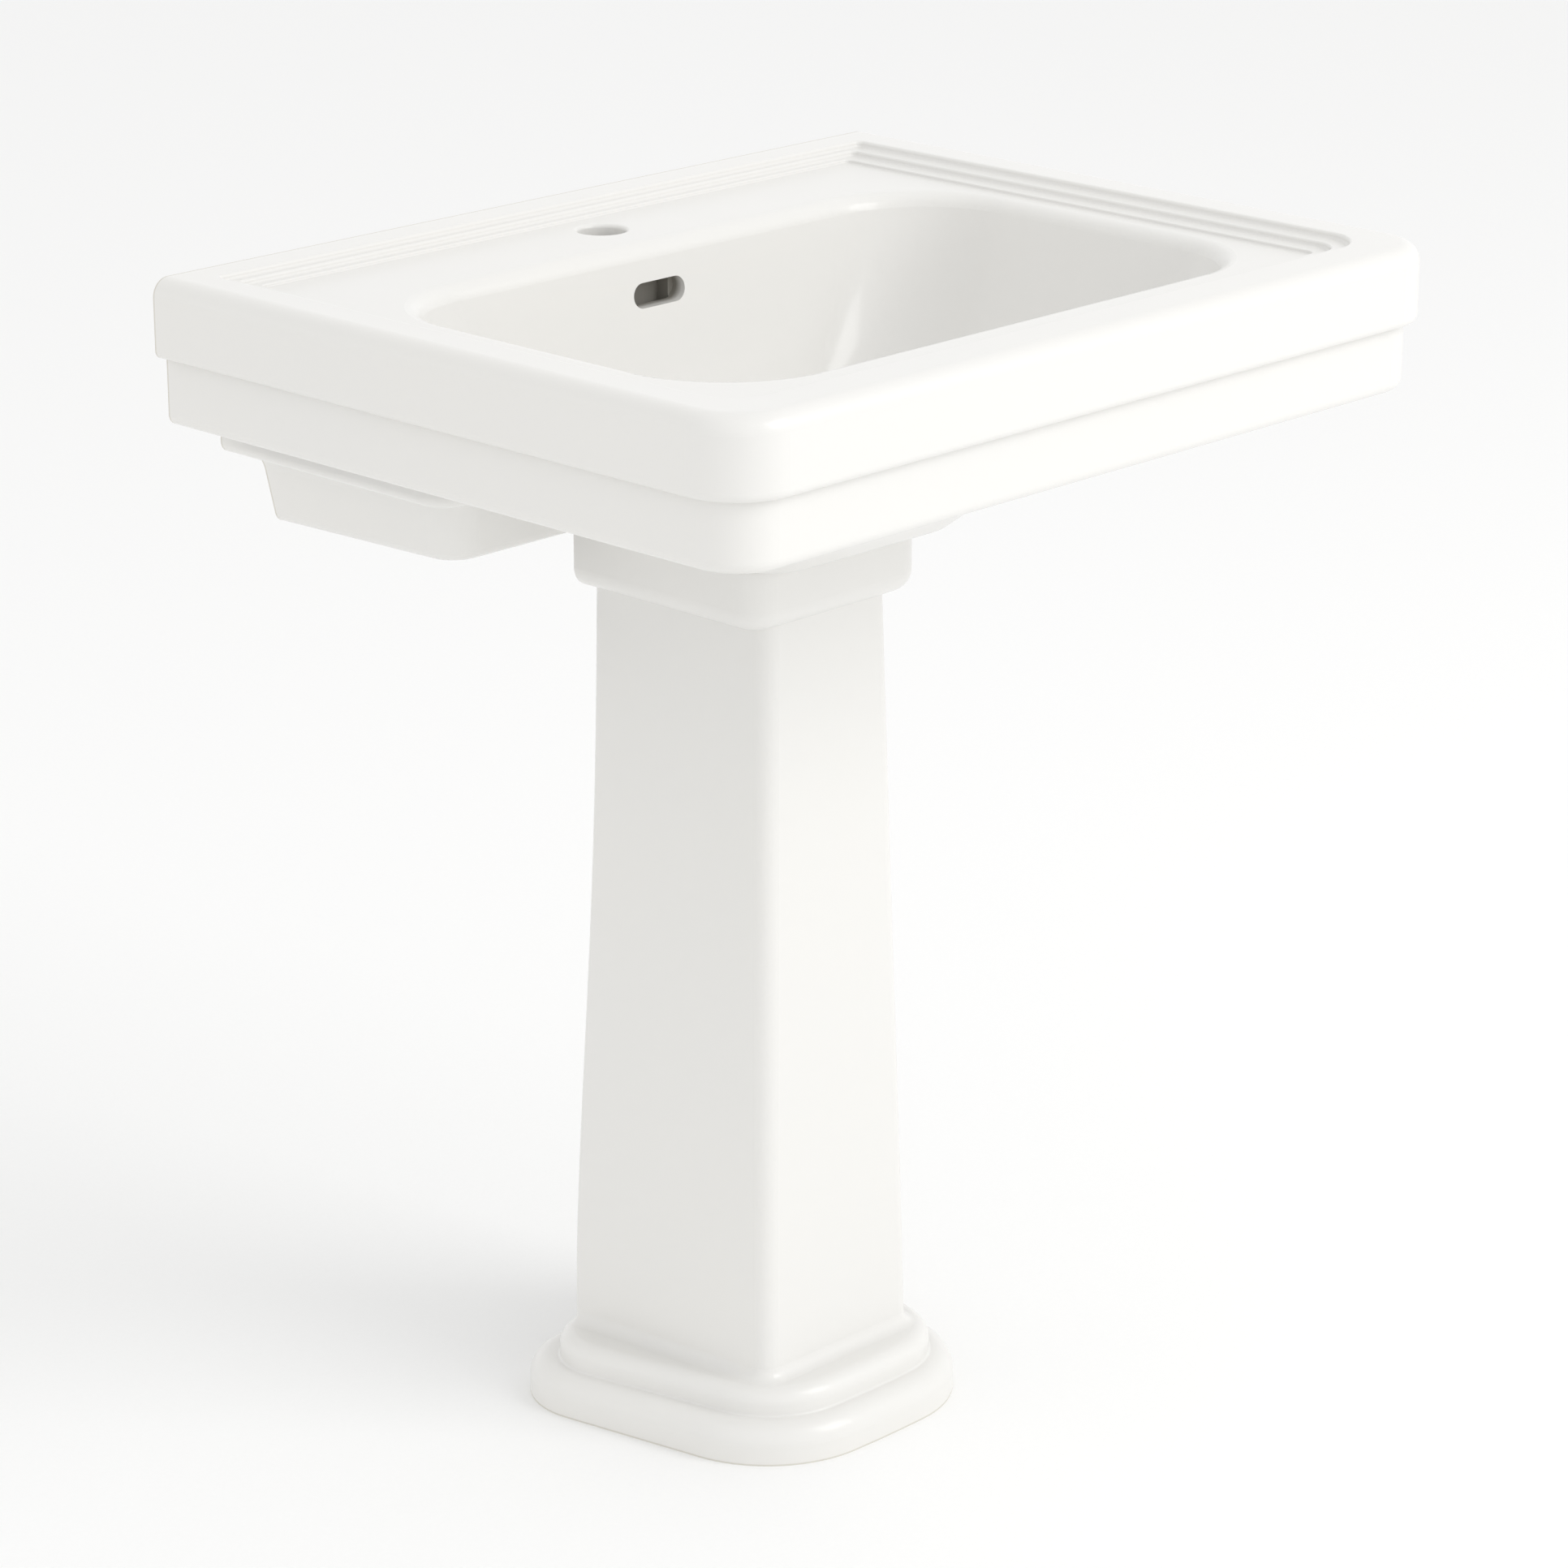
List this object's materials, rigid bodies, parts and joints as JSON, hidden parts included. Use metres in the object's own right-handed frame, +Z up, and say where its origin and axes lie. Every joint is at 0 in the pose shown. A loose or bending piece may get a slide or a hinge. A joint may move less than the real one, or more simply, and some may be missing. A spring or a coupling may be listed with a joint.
{
  "type": "pedestal sink",
  "caption": "Rectangular china basin with a stepped rim and sunk deck on an open-backed china pedestal, with a push-stopper waste.",
  "frame": {"origin": "on the floor, under the middle of the basin's width and depth", "axes": "+Z up, the basin's front towards -Y, the wall behind it at +Y, +X to the right of someone facing the wall"},
  "size_m": [0.7, 0.552, 0.857],
  "materials": {
    "basin_china": "glossy warm white glaze",
    "pedestal_china": "glossy warm white glaze",
    "cushion_rubber": "matt pale grey",
    "waste_chrome": "polished chrome plate",
    "stopper_chrome": "polished chrome plate",
    "tailpiece_chrome": "polished chrome plate",
    "seal_rubber": "matt black",
    "washer_rubber": "matt black",
    "washer_plastic": "matt white",
    "nut_brass": "machined",
    "latch_brass": "machined",
    "latch_steel": "bright drawn"
  },
  "bodies": {
    "sink": {"basin": "basin_china", "pedestal": "pedestal_china", "basin_cushions": "cushion_rubber", "waste_body": "waste_chrome", "flange_seal": "seal_rubber", "cone_washer": "washer_rubber", "friction_washer": "washer_plastic", "lock_nut": "nut_brass", "tailpiece": "tailpiece_chrome", "tailpiece_seal": "seal_rubber", "latch_barrel": "latch_brass", "latch_clip": "latch_steel", "latch_spring": "latch_steel"},
    "stopper": {"stopper_cap": "stopper_chrome", "stopper_seal": "seal_rubber", "stopper_plunger": "latch_brass"}
  },
  "joints": [
    {"name": "stopper_push", "type": "slide", "parent": "sink", "child": "stopper", "axis": [0, 0, 1], "range_m": [-0.009, 0], "stiffness_N_per_m": 300, "springref_m": 0.01, "deforming": ["latch_spring"]}
  ]
}
